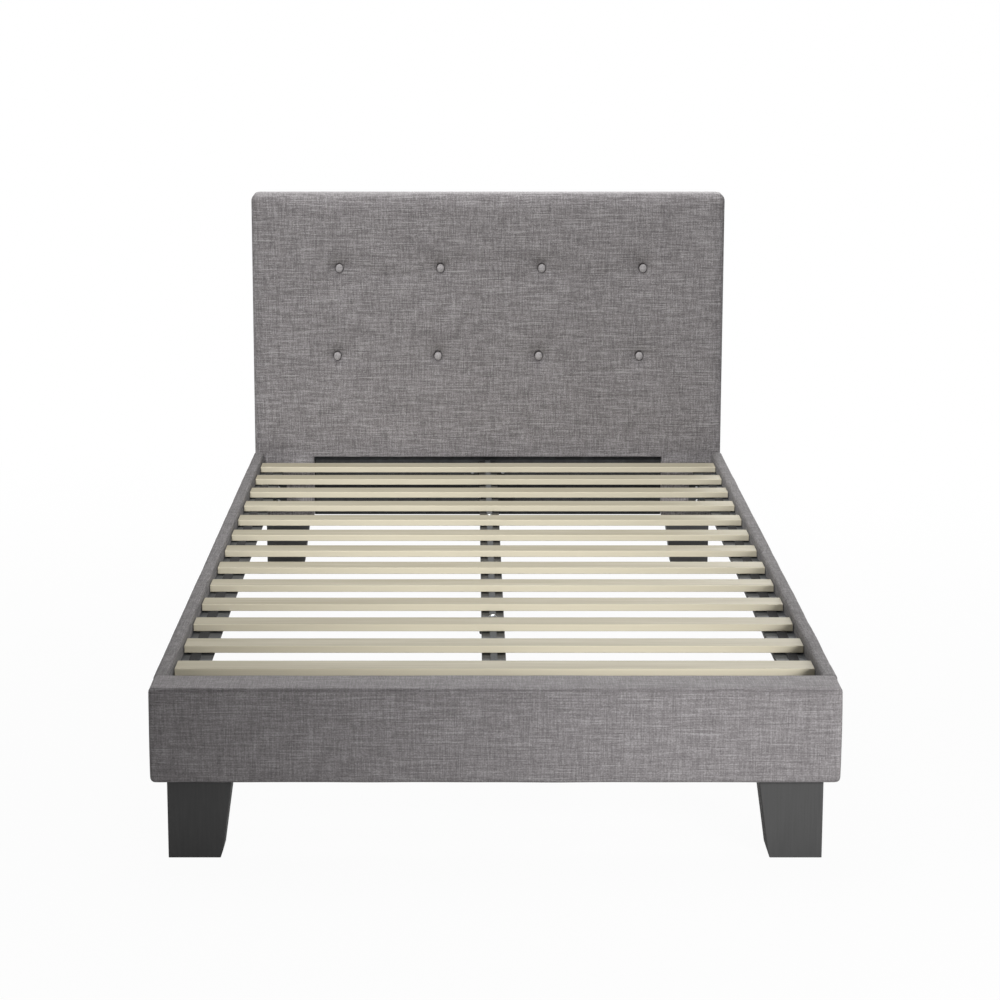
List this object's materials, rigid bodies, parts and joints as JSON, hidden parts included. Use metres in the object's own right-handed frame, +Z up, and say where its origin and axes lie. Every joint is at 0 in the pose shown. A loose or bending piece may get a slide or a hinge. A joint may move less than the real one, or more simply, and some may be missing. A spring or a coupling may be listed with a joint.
{
  "type": "upholstered platform bed frame",
  "caption": "Linen-covered platform bed frame with a tufted headboard, padded footboard, timber slats on steel ledgers and tapered black legs; carries one twin mattress.",
  "frame": {"origin": "on the floor under the middle of the bed's outline", "axes": "+X to the right seen from the foot end, +Y from footboard to headboard, +Z up"},
  "size_m": [1.035, 2.06, 0.84],
  "materials": {
    "linen": "grey linen weave over thin wadding",
    "foam": "open-cell foam",
    "bay_board": "hardboard faced in black cloth",
    "back_lining": "black spun-bonded lining",
    "plywood": "unfinished plywood",
    "frame_timber": "planed softwood",
    "slat_wood": "pale planed wood",
    "ledger_steel": "dark grey powder coat",
    "rail_steel": "black powder coat",
    "zinc": "bright zinc plate",
    "black_tape": "woven loop tape",
    "grey_tape": "woven loop tape",
    "leg_wood": "satin black stain",
    "foot_plastic": "moulded plastic"
  },
  "bodies": {
    "bed_frame": {"button_washers": "zinc", "center_leg_bolts": "zinc", "center_leg_front": "rail_steel", "center_leg_rear": "rail_steel", "center_rail": "rail_steel", "center_rail_hanger_front": "rail_steel", "center_rail_hanger_rear": "rail_steel", "center_rail_tape": "grey_tape", "corner_bolts": "zinc", "corner_brackets": "ledger_steel", "footboard_back_board": "plywood", "footboard_battens": "frame_timber", "footboard_cover": "linen", "footboard_end_blocks": "frame_timber", "footboard_foam": "foam", "footboard_front_board": "plywood", "hanger_screws": "zinc", "headboard_back_lining": "back_lining", "headboard_bay_panel": "bay_board", "headboard_cover": "linen", "headboard_cross_rail": "frame_timber", "headboard_foam": "foam", "headboard_frame_rails": "frame_timber", "headboard_front_board": "plywood", "headboard_post_blocks": "frame_timber", "headboard_post_cover_left": "linen", "headboard_post_cover_right": "linen", "headboard_stile_left": "frame_timber", "headboard_stile_right": "frame_timber", "ledger_screws": "zinc", "ledger_tapes": "black_tape", "leg_bolts": "zinc", "leg_front_left": "leg_wood", "leg_front_right": "leg_wood", "leg_rear_left": "leg_wood", "leg_rear_right": "leg_wood", "side_rail_board_left": "frame_timber", "side_rail_board_right": "frame_timber", "side_rail_cover_left": "linen", "side_rail_cover_right": "linen", "slat_01": "slat_wood", "slat_02": "slat_wood", "slat_03": "slat_wood", "slat_04": "slat_wood", "slat_05": "slat_wood", "slat_06": "slat_wood", "slat_07": "slat_wood", "slat_08": "slat_wood", "slat_09": "slat_wood", "slat_10": "slat_wood", "slat_11": "slat_wood", "slat_12": "slat_wood", "slat_13": "slat_wood", "slat_ledger_left": "ledger_steel", "slat_ledger_right": "ledger_steel", "tuft_buttons": "linen"},
    "leveling_foot_front": {"leveling_foot_front": "foot_plastic"},
    "leveling_foot_rear": {"leveling_foot_rear": "foot_plastic"}
  },
  "joints": [
    {"name": "leveling_foot_front_screw", "type": "slide", "parent": "bed_frame", "child": "leveling_foot_front", "axis": [0, 0, 1], "range_m": [0, 0.012]},
    {"name": "leveling_foot_rear_screw", "type": "slide", "parent": "bed_frame", "child": "leveling_foot_rear", "axis": [0, 0, 1], "range_m": [0, 0.012]}
  ]
}
